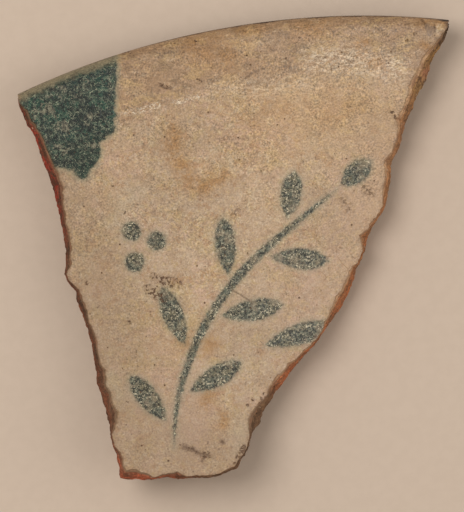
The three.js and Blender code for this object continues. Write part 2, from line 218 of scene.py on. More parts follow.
def strokeLines():
    route = smoothRoute([planPlace(p) for p in spray["stem"]], spray["stemSteps"])
    ways = unit(np.gradient(route, axis=0))
    asides = np.column_stack([-ways[:, 1], ways[:, 0]])
    half = spray["stemWidth"] / 2 * np.sqrt(np.sin(np.pi * np.linspace(0, 1, len(route))))[:, None]
    right, left = route - asides * half, route + asides * half
    lines = {"painted_stem": [tuple(p) for p in [*right, *left[-2:0:-1]]]}
    for number, (share, side, splay, length) in enumerate(spray["leaves"], 1):
        k = int(round(share * (len(route) - 1)))
        base = route[k] + asides[k] * side * (spray["stemWidth"] / 2 + spray["gap"])
        base = base + ways[k] * (1 - abs(side)) * spray["gap"]
        turn = math.atan2(ways[k][1], ways[k][0]) + side * math.radians(splay)
        lines[f"painted_leaf_{number}"] = leafLine(base, turn, spray["leafLength"] * length)
    base, turn, length = spray["cutLeaf"]
    lines["painted_leaf_at_break"] = leafLine(planPlace(base), math.radians(turn),
                                              spray["leafLength"] * length)
    for number, place in enumerate(spray["berries"], 1):
        turns = np.linspace(0, math.tau, spray["berrySteps"], endpoint=False)
        ring = np.column_stack([np.cos(turns), np.sin(turns)]) * spray["berryRadius"]
        lines[f"painted_berry_{number}"] = [tuple(p) for p in np.array(planPlace(place)) + ring]
    return lines


# How far points are from a stretch of line, and their share along it
def nearStretch(points, a, b):
    way = b - a
    share = np.clip((points - a) @ way / max(way @ way, 1e-9), 0, 1)
    return np.linalg.norm(points - a - share[:, None] * way, axis=1), share


# Distance to a closed line, above zero inside it
def insideBy(points, line):
    ends = np.array(line)
    nearest, crossed = np.full(len(points), 1e9), np.zeros(len(points), bool)
    for a, b in zip(np.roll(ends, 1, axis=0), ends):
        nearest = np.minimum(nearest, nearStretch(points, a, b)[0])
        straddles = (a[1] > points[:, 1]) != (b[1] > points[:, 1])
        with np.errstate(divide="ignore", invalid="ignore"):
            x = a[0] + (points[:, 1] - a[1]) / (b[1] - a[1]) * (b[0] - a[0])
        crossed ^= straddles & (points[:, 0] < x)
    return np.where(crossed, nearest, -nearest)


def awayFrom(points, route):
    route = np.array(route)
    nearest = np.full(len(points), 1e9)
    for a, b in zip(route, route[1:] if len(route) > 1 else route):
        nearest = np.minimum(nearest, nearStretch(points, a, b)[0])
    return nearest


def roughness(points, size, seed, octaves=3):
    shift = Vector((seed * 7.3, seed * 3.1, seed * 5.7))
    return np.array([noise.fractal(Vector(p) / size + shift, 0.8, 2.1, octaves) for p in points])


# The hand-thrown face: slow hollows, faint throwing rings and a fine tooth, all sunk a little
relief = {"sunk": 0.05, "slow": 0.045, "rings": 0.022, "tooth": 0.014}


def faceRelief(points):
    run, _ = faceOver(points[:, 0], points[:, 1])
    rings = roughness(np.column_stack([run * 1.1, points[:, 0] / 14, run * 0]), 2.6, 4, 2)
    slow, tooth = roughness(points, 11, 2, 2), roughness(points, 1.5, 9, 2)
    deep = -relief["sunk"] + relief["slow"] * slow + relief["rings"] * rings
    return deep + relief["tooth"] * tooth


# The part of the bowl's turn that the sherd takes up
edgeLine = [planPlace(row) for row in breakLine]
edgeX, edgeY = np.array(edgeLine).T
edgeTurns = np.arcsin(edgeX / np.interp(faceOver(edgeX, edgeY)[0], wallRuns, wallRadii))
sweepLow, sweepHigh = edgeTurns.min() - fine["margin"], edgeTurns.max() + fine["margin"]
print("turn from", round(math.degrees(sweepLow)), "to", round(math.degrees(sweepHigh)))


def newObject(name, bm):
    mesh = bpy.data.meshes.new(name)
    bm.to_mesh(mesh)
    bm.free()
    piece = bpy.data.objects.new(name, mesh)
    scene.collection.objects.link(piece)
    return piece


# A turned ring of the bowl. Rows are (radius, height, moves): a row that moves takes the relief.
def turnedRing(name, rows):
    bm = bmesh.new()
    bmesh.ops.create_grid(bm, x_segments=len(rows), y_segments=fine["turns"], size=0.5)
    skin = bm.verts.layers.float.new("skin")
    closed = [*rows, rows[0]]
    for vert in bm.verts:
        radius, height, moves = closed[int(round((vert.co.x + 0.5) * len(rows)))]
        angle = sweepLow + (sweepHigh - sweepLow) * (vert.co.y + 0.5)
        vert.co = (radius * math.sin(angle), radius * math.cos(angle), height)
        vert[skin] = moves
    bmesh.ops.remove_doubles(bm, verts=bm.verts, dist=1e-5)
    bmesh.ops.holes_fill(bm, edges=[e for e in bm.edges if e.is_boundary], sides=0)
    bmesh.ops.transform(bm, matrix=tipped, verts=bm.verts)
    bmesh.ops.recalc_face_normals(bm, faces=bm.faces)
    moved = [v for v in bm.verts if v[skin] > 0 and abs(v.co.x) < sherd["halfWidth"] + 3]
    depths = faceRelief(np.array([v.co for v in moved])) if moved else []
    for vert, depth in zip(moved, depths):
        vert.co.z += depth * vert[skin]
    return newObject(name, bm)


def rowsOn(depth, stride, moves=0.0, whole=False):
    runs = np.linspace(0, bowl["fullRun"], int(bowl["fullRun"] / stride) + 1)
    depths = wallAt(runs) - depth if whole else depth
    radii, heights = sunkPoint(runs, depths)
    return [(float(r), float(h), moves) for r, h in zip(radii, heights)]


def rowAtLip(depth, moves=0.0):
    radius, height = sunkPoint(0, depth)
    return float(radius), float(height), moves


# The rounded nose of the lip, from the back over to the hollow
def noseRows(backDepth, hollowDepth, count, moves=0.0):
    backR, backH, _ = rowAtLip(bowl["lipWall"] - backDepth)
    frontR, frontH, _ = rowAtLip(hollowDepth)
    midR, midH = (backR + frontR) / 2, (backH + frontH) / 2
    rows = []
    for step in range(1, count):
        r, h = turnTo(math.pi * step / count, (backR - midR, backH - midH))
        rows.append((midR + r, midH + h, moves * min(1, 3 * step / count)))
    return rows


# How uneven the break is: (size in mm, seed, octaves, depth in mm) each, then the start of the
# chips, rounds of smoothing, steps of tapering at the rim, and the block's own levels in mm
uneven = {
    "wave": (3.2, 1, 3, 0.10), "nibble": (0.7, 6, 3, 0.08), "chips": (1.7, 12, 3, 1),
    "coarse": (2.4, 22, 3, 0.17), "layers": (0.9, 32, 2, 0.20), "tooth": (0.55, 42, 2, 0.11),
    "chipsFrom": 0.05, "rounds": 24, "taper": 50,
    "top": 30, "aboveFace": 22, "foot": -12, "pastRim": 12,
}


def unevenBy(points, kind):
    size, seed, octaves, depth = uneven[kind]
    return roughness(points, size, seed, octaves) * depth


# The break line walked in short steps, with its outward way, its lean and the face's height
def breakColumns(cut):
    corners = [(*planPlace(row), row[2] * sherd["lean"]) for row in breakLine]
    (firstX, firstY, _), (lastX, lastY, _) = corners[0], corners[-1]
    corners = [(firstX + 0.1, firstY + uneven["pastRim"], 0), *corners,
               (lastX - 0.1, lastY + uneven["pastRim"], 0)]
    walked = []
    for a, b in zip(corners, corners[1:]):
        steps = max(1, int(round(math.dist(a[:2], b[:2]) / sherd["cellAlong"])))
        walked += [tuple(np.array(a) + (np.array(b) - a) * k / steps) for k in range(steps)]
    walked = np.array([*walked, corners[-1]])
    ways = np.gradient(walked[:, :2], axis=0)
    for _ in range(uneven["rounds"]):
        ways[1:-1] = (ways[:-2] + 2 * ways[1:-1] + ways[2:]) / 4
    ways = unit(ways)
    outwards = np.column_stack([ways[:, 1], -ways[:, 0]])
    flat = np.column_stack([walked[:, :2], walked[:, 2] * 0])
    wavy = unevenBy(flat, "wave") + unevenBy(flat, "nibble")
    chips = np.maximum(0, unevenBy(flat, "chips") - uneven["chipsFrom"]) * cut["chips"]
    steps = np.arange(len(walked))
    ended = np.clip(np.minimum(steps, steps[::-1]) / uneven["taper"], 0, 1)
    places = walked[:, :2] + outwards * ((wavy - cut["inset"] - chips) * ended)[:, None]
    run, height = faceOver(places[:, 0], places[:, 1])
    return {"place": places, "out": outwards, "lean": walked[:, 2], "run": run,
            "height": height, "ended": ended}


# The block that the breaks leave: upright above the glazed face, then swelling, layered and
# grainy down the broken clay
def breakBlock(name, cut):
    columns = breakColumns(cut)
    places, outwards = columns["place"], columns["out"]
    bm = bmesh.new()
    column = bm.verts.layers.int.new("column")
    ring = [bm.verts.new((x, y, uneven["top"])) for x, y in places]
    for number, vert in enumerate(ring):
        vert[column] = number
    edges = [bm.edges.new((a, b)) for a, b in zip(ring, ring[1:] + ring[:1])]
    shares, bulges = zip(*swell)
    for stop in (-0.3, *np.linspace(0, 1, sherd["levels"]), 1.2):
        made = bmesh.ops.extrude_edge_only(bm, edges=edges)["geom"]
        verts = [g for g in made if isinstance(g, bmesh.types.BMVert)]
        new = set(verts)
        edges = [g for g in made if isinstance(g, bmesh.types.BMEdge) and set(g.verts) <= new]
        bulge = float(np.interp(stop, shares, bulges))
        heights = columns["height"] - stop * wallAt(columns["run"])
        if stop < 0:
            heights[:] = uneven["aboveFace"]
        if stop > 1:
            heights[:] = uneven["foot"]
        base = places + outwards * (columns["lean"] * bulge)[:, None]
        level = np.column_stack([base, heights])
        # the grain comes in just below the glazed face and goes out towards the back
        inside = min(1.0, max(0.0, stop) * 9) * cut["grain"] * min(1.0, max(0.0, 1.12 - stop) * 6)
        if inside > 0:
            out = unevenBy(level * (1, 1, 1.4), "coarse")
            out += unevenBy(level * (0.22, 0.22, 1.9), "layers")
            out += unevenBy(level, "tooth")
            level[:, :2] += outwards * (out * inside * columns["ended"])[:, None]
        for vert in verts:
            vert.co = level[vert[column]]
    bmesh.ops.holes_fill(bm, edges=[e for e in bm.edges if e.is_boundary], sides=0)
    bmesh.ops.recalc_face_normals(bm, faces=bm.faces)
    return newObject(name, bm)


# What a stroke is cut with: its outline, a little uneven, drawn up through the whole glaze
strokeCut = {"step": 0.45, "waver": 1.3, "waverDepth": 0.12, "foot": -2, "tall": 24, "seed": 3}


def through(name, line, seed):
    points = np.array(line)
    dense = []
    for a, b in zip(points, np.roll(points, -1, axis=0)):
        steps = max(1, int(round(np.linalg.norm(b - a) / strokeCut["step"])))
        dense += [a + (b - a) * k / steps for k in range(steps)]
    dense = np.array(dense)
    flat = np.column_stack([dense, dense[:, 0] * 0])
    ways = unit(np.roll(dense, -1, axis=0) - np.roll(dense, 1, axis=0))
    wavers = roughness(flat, strokeCut["waver"], seed) * strokeCut["waverDepth"]
    dense += np.column_stack([ways[:, 1], -ways[:, 0]]) * wavers[:, None]
    bm = bmesh.new()
    face = bm.faces.new([bm.verts.new((x, y, strokeCut["foot"])) for x, y in dense])
    made = bmesh.ops.extrude_face_region(bm, geom=[face])["geom"]
    raised = [g for g in made if isinstance(g, bmesh.types.BMVert)]
    bmesh.ops.translate(bm, vec=(0, 0, strokeCut["tall"]), verts=raised)
    bmesh.ops.recalc_face_normals(bm, faces=bm.faces)
    return newObject(name, bm)


def shaped(name, body, cutter, operation):
    cut = body.modifiers.new("cut", "BOOLEAN")
    cut.operation, cut.solver, cut.object = operation, "MANIFOLD", cutter
    bpy.context.view_layer.update()
    graph = bpy.context.evaluated_depsgraph_get()
    mesh = bpy.data.meshes.new_from_object(body.evaluated_get(graph))
    body.modifiers.clear()
    mesh.name = name
    piece = bpy.data.objects.new(name, mesh)
    scene.collection.objects.link(piece)
    return piece


def drop(*pieces):
    for piece in pieces:
        bpy.data.objects.remove(piece, do_unlink=True)


def coordsOf(piece):
    co = np.zeros(len(piece.data.vertices) * 3, np.float32)
    piece.data.vertices.foreach_get("co", co)
    return co.reshape(-1, 3).astype(float)


def writeMark(piece, name, values):
    layer = piece.data.attributes.new(name, "FLOAT", "POINT")
    layer.data.foreach_set("value", np.asarray(values, np.float32))


# Stains, dirt and wear of the glazed face, with painted shade, painted glints and a partly
# painted sheen among them: (kind, reach in mm, strength, places in mm)
faceMarks = [
    ("rust", 1.8, 0.75, [(-12.2, 14.4), (-12.5, 10.9), (-11.1, 6.0), (-8.5, 4.8), (-5.3, 5.6)]),
    ("rust", 3.0, 0.6, [(-6.1, 27.7), (-3.5, 26.9), (-0.9, 25.8)]),
    ("rust", 1.8, 0.7, [(-16.8, -20.8), (-14.2, -20.9), (-11.7, -22.4)]),
    ("rust", 1.4, 0.8, [(-14.3, -31.4), (-13.6, -30.2)]),
    ("rust", 1.2, 0.7, [(-12.3, -35.8), (-11.8, -34.6)]),
    ("rust", 1.3, 0.55, [(32.8, 26.2), (34.1, 25.4)]),
    ("rust", 1.0, 0.6, [(34.8, 25.9), (36.2, 25.3)]),
    ("rust", 2.4, 0.22, [(-1.0, 9.0), (1.5, 13.0), (6.0, 15.5)]),
    ("rust", 2.0, 0.35, [(14.0, 13.0), (20.0, 13.5)]),
    ("rust", 1.6, 0.5, [(12.5, 28.0), (16.5, 27.4)]),
    ("rust", 1.4, 0.4, [(2.2, 29.6), (5.4, 29.4)]),
    ("rust", 0.9, 0.7, [(21.6, 24.0), (22.8, 24.0)]),
    ("rust", 0.8, 0.7, [(23.0, 20.6), (24.2, 20.3)]),
    ("rust", 1.0, 0.7, [(32.4, 22.0), (33.2, 21.2)]),
    ("warm", 12, 1, [(13.0, 15.0), (26.0, 8.0), (25.0, -2.0)]),
    ("soil", 1.2, 0.45, [(19.2, -1.5), (18.4, -0.4)]),
    ("soil", 1.3, 0.4, [(14.3, -1.7), (15.2, -3.4)]),
    ("soil", 0.5, 0.8, [(25.3, 10.6), (25.1, 11.4)]),
    ("soil", 0.4, 0.9, [(-18.1, 29.4), (-17.3, 29.7)]),
    ("soil", 0.9, 0.4, [(-4.5, -1.2), (-2.0, 0.6)]),
    ("soil", 0.9, 0.9, [(-19.4, -9.2), (-17.7, -10.2), (-15.9, -10.8)]),
    ("soil", 0.9, 0.9, [(-20.9, -11.0), (-18.7, -12.9)]),
    ("soil", 0.9, 0.45, [(-19.9, -38.1), (-18.3, -38.9), (-17.1, -39.9), (-15.5, -40.5)]),
    ("soil", 0.6, 0.9, [(-16.4, -40.3), (-15.6, -40.5)]),
    ("soil", 0.5, 0.9, [(-10.2, -41.6), (-11.2, -42.5), (-9.4, -40.2)]),
    ("soil", 0.4, 0.7, [(-13.0, 22.9), (-11.4, 22.1)]),
    ("line", 0.16, 0.7, [(0.3, 20.9), (2.6, 22.1), (4.9, 22.7)]),
    ("line", 0.14, 0.8, [(-6.9, -13.6), (-5.6, -14.6), (-4.2, -15.9)]),
    ("line", 0.30, 0.75, [(-19.4, -38.4), (-18.3, -38.9), (-17.1, -39.9), (-15.5, -40.5)]),
    ("line", 0.22, 0.7, [(-16.0, -40.2), (-16.9, -41.4)]),
    ("line", 0.30, 1, [(-12.9, -38.6), (-12.8, -38.8)]),
    ("line", 0.17, 0.8, [(-13.0, 22.8), (-12.1, 22.1), (-11.2, 22.1)]),
    ("line", 0.18, 0.8, [(32.8, 26.1), (33.3, 25.2)]),
    ("line", 0.24, 1, [(34.6, 24.7), (34.7, 24.4)]),
    ("line", 0.16, 0.9, [(34.7, 24.4), (34.5, 23.8)]),
    ("chip", 0.7, 1, [(33.5, 24.8), (34.1, 24.3), (33.6, 23.7)]),
    # darker along the broken edge at the right corner
    ("burnt", 0.6, 1, [(37.1, 25.9), (37.2, 24.5), (36.7, 23.3), (35.9, 22.2)]),
    ("pale", 0.9, 0.9, [(35.2, 24.5), (35.5, 24.0)]),
    ("milk", 2.6, 0.8, [(-9.6, -37.3), (-7.9, -39.3)]),
    ("milk", 1.8, 0.7, [(-29.8, -25.0), (-29.0, -27.5)]),
    ("milk", 2.0, 0.5, [(-25.5, 1.0), (-20.0, 5.5)]),
    ("blush", 6, 0.8, [(-18.8, -30.5), (-16.5, -35.0)]),
    ("blush", 7, 0.45, [(10.4, -12.5), (4.0, -18.0)]),
    ("blush", 5, 0.6, [(22.0, 3.0), (17.0, -4.0)]),
    ("craze", 8.5, 1, [(11.8, -5.5), (11.0, -12.5)]),
    ("craze", 6, 0.5, [(2.0, 2.0), (6.0, -18.0)]),
    # a pale band near the rim: worn glaze, partly a painted sheen where light catches it
    ("pale", 2.6, 1, [(13.7, 22.6), (20.4, 21.4), (26.9, 18.9)]),
    ("pale", 2.0, 0.5, [(-4.0, 20.6), (5.0, 19.6), (12.0, 19.0)]),
    # painted glints along the shoulder under the lip; the same marks also make the glaze glossier
    # and rippled there
    ("shine", 0.7, 1, [(-19.3, 19.2), (-16.0, 19.3), (-13.9, 19.6)]),
    ("shine", 0.6, 1, [(-11.0, 19.5), (-7.0, 19.8)]),
    ("shine", 1.6, 0.35, [(-20.0, 19.0), (0.0, 20.5), (14.0, 21.5), (27.0, 18.0)]),
    ("thinned", 1.3, 0.8, [(-33.3, 21.4), (-31.7, 22.2)]),
    ("thinned", 1.2, 0.7, [(-31.6, 20.2), (-30.7, 18.7)]),
    ("thinned", 1.0, 0.8, [(-32.0, 15.0), (-29.8, 14.6)]),
    ("thinned", 0.9, 0.7, [(-26.4, 24.6)]),
    ("thick", 1.2, 0.9, [(-27.6, 26.0), (-24.9, 26.2), (-22.6, 27.2)]),
    ("thick", 1.4, 0.6, [(-30.5, 16.9), (-28.6, 18.0)]),
    # painted shade: darker towards the left, along the top, at the foot and in broad patches
    ("dusk", 9, 1, [(-33, 6), (-29, -8), (-28, -24), (-26, -38)]),
    ("dusk", 5.5, 0.8, [(-30, 24), (-14, 29), (4, 31), (22, 28), (34, 24)]),
    ("dusk", 8, 1, [(-21, -39), (-10, -41)]),
    ("dusk", 6, 0.5, [(-17, 15), (-7, 14)]),
    ("dusk", 6, 0.55, [(-18, 6), (-13, 3)]),
    ("dusk", 6, 0.6, [(11, -3), (13, -8)]),
    ("dusk", 6, 0.55, [(-6, -21), (-2, -23)]),
    ("dusk", 9, 0.35, [(26, 8), (20, -3), (10, -14), (-6, -32)]),
]
faceSpots = [(-31.0, -8.2), (-27.8, 1.8), (-22.7, 2.6), (-23.8, 7.5), (29.8, 24.1), (29.7, 23.1),
             (31.2, 24.0), (-6.1, 22.5), (-3.0, -8.0), (8.5, 6.0), (-25.0, -16.0), (2.0, -28.0),
             (-7.6, -33.4), (-6.5, -32.5), (-5.2, -32.6), (-4.5, -32.0), (2.8, 29.6), (-5.8, 29.1)]
footFacet = [(-8.2, -37.2), (-7.4, -34.7), (-5.4, -33.1)]
reaches = {"spot": 0.34, "foot": 1.8, "darkerSide": (-22, -10), "underFrom": 0.4}

strokes = strokeLines()
splash = [planPlace(p) for p in splashLine]


# How far in from the crest of the rim, measured on the bowl's radius
def fromCrest(points):
    back = np.array(tipped.inverted())
    standing = points @ back[:3, :3].T + back[:3, 3]
    return bowl["rimRadius"] - np.hypot(standing[:, 0], standing[:, 1])


def markFace(piece, sheet=True):
    points = coordsOf(piece)
    plan = points[:, :2]
    run, height = faceOver(plan[:, 0], plan[:, 1])
    writeMark(piece, "down", run)
    writeMark(piece, "inward", fromCrest(points))
    paint = np.full(len(plan), -9.0)
    for line in strokes.values():
        paint = np.maximum(paint, insideBy(plan, line))
    writeMark(piece, "paint", paint)
    writeMark(piece, "green", insideBy(plan, splash))
    writeMark(piece, "edge", awayFrom(plan, edgeLine))
    under = (height - points[:, 2]) / bowl["glaze"] - reaches["underFrom"]
    writeMark(piece, "under", np.clip(under, 0, 1) * sheet)
    # the glaze's broken side is darker towards the left and at the foot facet
    atFoot = np.exp(-(awayFrom(plan, footFacet) / reaches["foot"])**2)
    darkerSide = np.interp(plan[:, 0], reaches["darkerSide"], [1, 0])
    writeMark(piece, "darkerSide", np.maximum(darkerSide, atFoot))
    for kind in sorted({row[0] for row in faceMarks}):
        total = np.zeros(len(plan))
        for _, reach, strength, route in [row for row in faceMarks if row[0] == kind]:
            away = awayFrom(plan, route) / reach
            total = np.maximum(total, strength * np.exp(-away**2))
        if kind == "soil":
            for place in faceSpots:
                away = np.linalg.norm(plan - place, axis=1) / reaches["spot"]
                total = np.maximum(total, np.exp(-away**2))
        writeMark(piece, kind, total)


# Where the broken clay is along the break, from 0 at the left of the rim to 1 at its right,
# and how deep in the wall
def markBreak(piece):
    points = coordsOf(piece)
    line = np.array(edgeLine)
    gone = lengthsAlong(line)
    nearest, place = np.full(len(points), 1e9), np.zeros(len(points))
    for a, b, start, end in zip(line, line[1:], gone, gone[1:]):
        away, share = nearStretch(points[:, :2], a, b)
        closer = away < nearest
        nearest = np.where(closer, away, nearest)
        place = np.where(closer, (start + (end - start) * share) / gone[-1], place)
    run, height = faceOver(points[:, 0], points[:, 1])
    writeMark(piece, "along", place)
    writeMark(piece, "deep", np.clip((height - points[:, 2]) / wallAt(run), 0, 1))
    writeMark(piece, "down", run)


def srgb(red, green, blue):
    def straight(v):
        v /= 255
        return v / 12.92 if v <= 0.04045 else ((v + 0.055) / 1.055)**2.4
    return straight(red), straight(green), straight(blue), 1


def tune(node, numbers):
    for name, number in numbers.items():
        node.inputs[name].default_value = number


# Small helpers for a node tree. Sizes are in mm, and a colour is a socket or an 8-bit tone.
class Nodes:
    def __init__(self, tree):
        self.tree = tree

    def put(self, kind, **settings):
        node = self.tree.nodes.new(kind)
        for name, value in settings.items():
            setattr(node, name, value)
        return node

    def plug(self, source, target):
        if isinstance(source, bpy.types.NodeSocket):
            self.tree.links.new(source, target)
        else:
            target.default_value = srgb(*source) if target.type == "RGBA" else source

    def sums(self, operation, a, b=0.0, clamp=False):
        node = self.put("ShaderNodeMath", operation=operation, use_clamp=clamp)
        self.plug(a, node.inputs[0])
        self.plug(b, node.inputs[1])
        return node.outputs[0]

    def plus(self, a, b, clamp=False):
        return self.sums("ADD", a, b, clamp)

    def less(self, a, b, clamp=False):
        return self.sums("SUBTRACT", a, b, clamp)

    def times(self, a, b, clamp=False):
        return self.sums("MULTIPLY", a, b, clamp)

    def blend(self, share, a, b):
        node = self.put("ShaderNodeMix", data_type="RGBA")
        for number, source in ((0, share), (6, a), (7, b)):
            self.plug(source, node.inputs[number])
        return node.outputs[2]

    def ease(self, value, low, high, top=1.0, bottom=0.0):
        node = self.put("ShaderNodeMapRange", interpolation_type="SMOOTHSTEP")
        self.plug(value, node.inputs["Value"])
        tune(node, {"From Min": low, "From Max": high, "To Min": bottom, "To Max": top})
        return node.outputs[0]

    def mark(self, name):
        node = self.put("ShaderNodeAttribute", attribute_type="GEOMETRY", attribute_name=name)
        return node.outputs["Fac"]

    # stretch below 1 draws the cloud out along the rim
    def cloud(self, size, detail=3.0, rough=0.55, stretch=None, twist=0.0):
        where = self.put("ShaderNodeTexCoord").outputs["Object"]
        if stretch:
            mapping = self.put("ShaderNodeMapping")
            tune(mapping, {"Scale": (stretch, 1, 1)})
            self.plug(where, mapping.inputs["Vector"])
            where = mapping.outputs[0]
        node = self.put("ShaderNodeTexNoise")
        self.plug(where, node.inputs["Vector"])
        tune(node, {"Scale": 1000 / size, "Detail": detail, "Roughness": rough,
                    "Distortion": twist})
        return node.outputs["Fac"]

    # a cloud about zero, to make an edge ragged with
    def ripple(self, reach, *cloud):
        return self.times(self.less(self.cloud(*cloud), 0.5), reach)

    # wander bends the cells' straight sides, by up to about half of it
    def cells(self, size, feature="F1", wander=0.0):
        where = self.put("ShaderNodeTexCoord").outputs["Object"]
        if wander:
            sway = self.put("ShaderNodeTexNoise")
            self.plug(where, sway.inputs["Vector"])
            tune(sway, {"Scale": 1000 / size, "Detail": 4})
            centred = self.put("ShaderNodeVectorMath", operation="SUBTRACT")
            self.plug(sway.outputs["Color"], centred.inputs[0])
            centred.inputs[1].default_value = (0.5, 0.5, 0.5)
            moved = self.put("ShaderNodeVectorMath", operation="MULTIPLY_ADD")
            self.plug(centred.outputs[0], moved.inputs[0])
            moved.inputs[1].default_value = (wander / 1000,) * 3
            self.plug(where, moved.inputs[2])
            where = moved.outputs[0]
        node = self.put("ShaderNodeTexVoronoi", feature=feature)
        self.plug(where, node.inputs["Vector"])
        tune(node, {"Scale": 1000 / size})
        return node.outputs["Distance"]

    def bands(self, value, stops):
        node = self.put("ShaderNodeValToRGB")
        self.plug(value, node.inputs[0])
        ramp = node.color_ramp
        while len(ramp.elements) < len(stops):
            ramp.elements.new(0.5)
        for element, (position, *tone) in zip(ramp.elements, stops):
            element.position, element.color = position, srgb(*tone)
        return node.outputs[0]

    def place(self, group, **values):
        node = self.put("ShaderNodeGroup", node_tree=group)
        for name, value in values.items():
            self.plug(value, node.inputs[name])
        return node.outputs

    def tinted(self, colour, shade):
        node = self.put("ShaderNodeVectorMath", operation="SCALE")
        self.plug(colour, node.inputs[0])
        self.plug(shade, node.inputs["Scale"])
        return node.outputs[0]


def newGroup(name, ins, outs):
    group = bpy.data.node_groups.new(name, "ShaderNodeTree")
    for label, kind, value in ins:
        socket = group.interface.new_socket(label, in_out="INPUT", socket_type="NodeSocket" + kind)
        socket.default_value = value
    for label, kind in outs:
        group.interface.new_socket(label, in_out="OUTPUT", socket_type="NodeSocket" + kind)
    n = Nodes(group)
    return n, n.put("NodeGroupInput").outputs, n.put("NodeGroupOutput").inputs


# Fine mineral grain that every fired surface here has: a grey to multiply colour by, and a height
def buildGrain():
    n, given, out = newGroup(
        "firedGrain",
        [("Contrast", "Float", 0.1)],
        [("Shade", "Float"), ("Height", "Float")],
    )
    small, middle = n.cloud(0.30, 1, 0.5), n.cloud(0.9, 3, 0.6)
    both = n.plus(n.times(small, 0.7), n.times(middle, 0.3))
    spread = n.times(n.less(both, 0.5), given["Contrast"])
    n.plug(n.plus(spread, 1.0), out["Shade"])
    n.plug(both, out["Height"])
    return n.tree


# Dark soil that sits in pits and hollows
def buildSoil():
    n, given, out = newGroup(
        "groundSoil",
        [("Amount", "Float", 0.5), ("Color", "Color", srgb(150, 120, 90))],
        [("Color", "Color"), ("Mask", "Float")],
    )
    dots = n.ease(n.cloud(0.50, 2, 0.5), 0.66, 0.73)
    patch = n.ease(n.cloud(5, 3, 0.6), 0.40, 0.62)
    dirt = n.times(n.times(dots, patch), given["Amount"], clamp=True)
    n.plug(n.blend(dirt, given["Color"], (70, 48, 32)), out["Color"])
    n.plug(dirt, out["Mask"])
    return n.tree


firedGrain, groundSoil = buildGrain(), buildSoil()


# The worn glazed face. Its stains, green run, brush strokes, painted shade and painted glints
# cross from piece to piece, so one group colours them all from the marks on the mesh.
faceTones = [  # patch size in mm, where it starts and where it is full, how much, colour
    (7.5, 0.50, 0.60, 0.50, (190, 156, 134)),
    (5.2, 0.49, 0.60, 0.65, (174, 146, 98)),
    (3.4, 0.46, 0.62, 0.65, (162, 133, 104)),
    (2.3, 0.53, 0.64, 0.65, (164, 124, 88)),
    (1.3, 0.52, 0.62, 0.50, (200, 178, 152)),
    (0.9, 0.53, 0.62, 0.45, (176, 148, 96)),
    (0.46, 0.56, 0.62, 0.38, (214, 194, 168)),
    (0.52, 0.42, 0.36, 0.42, (112, 88, 66)),
]
bandTones = [  # the same with a stretch along the rim and the least share
    (5.0, 0.35, 0.30, 0.65, 0.90, 0.35, (150, 117, 85)),
    (2.4, 0.45, 0.50, 0.60, 0.60, 0, (126, 100, 72)),
    (2.9, 0.50, 0.51, 0.60, 0.60, 0, (178, 146, 100)),
    (0.8, 0.60, 0.54, 0.62, 0.55, 0, (118, 90, 62)),
    (0.9, 0.60, 0.56, 0.64, 0.40, 0, (200, 174, 142)),
]


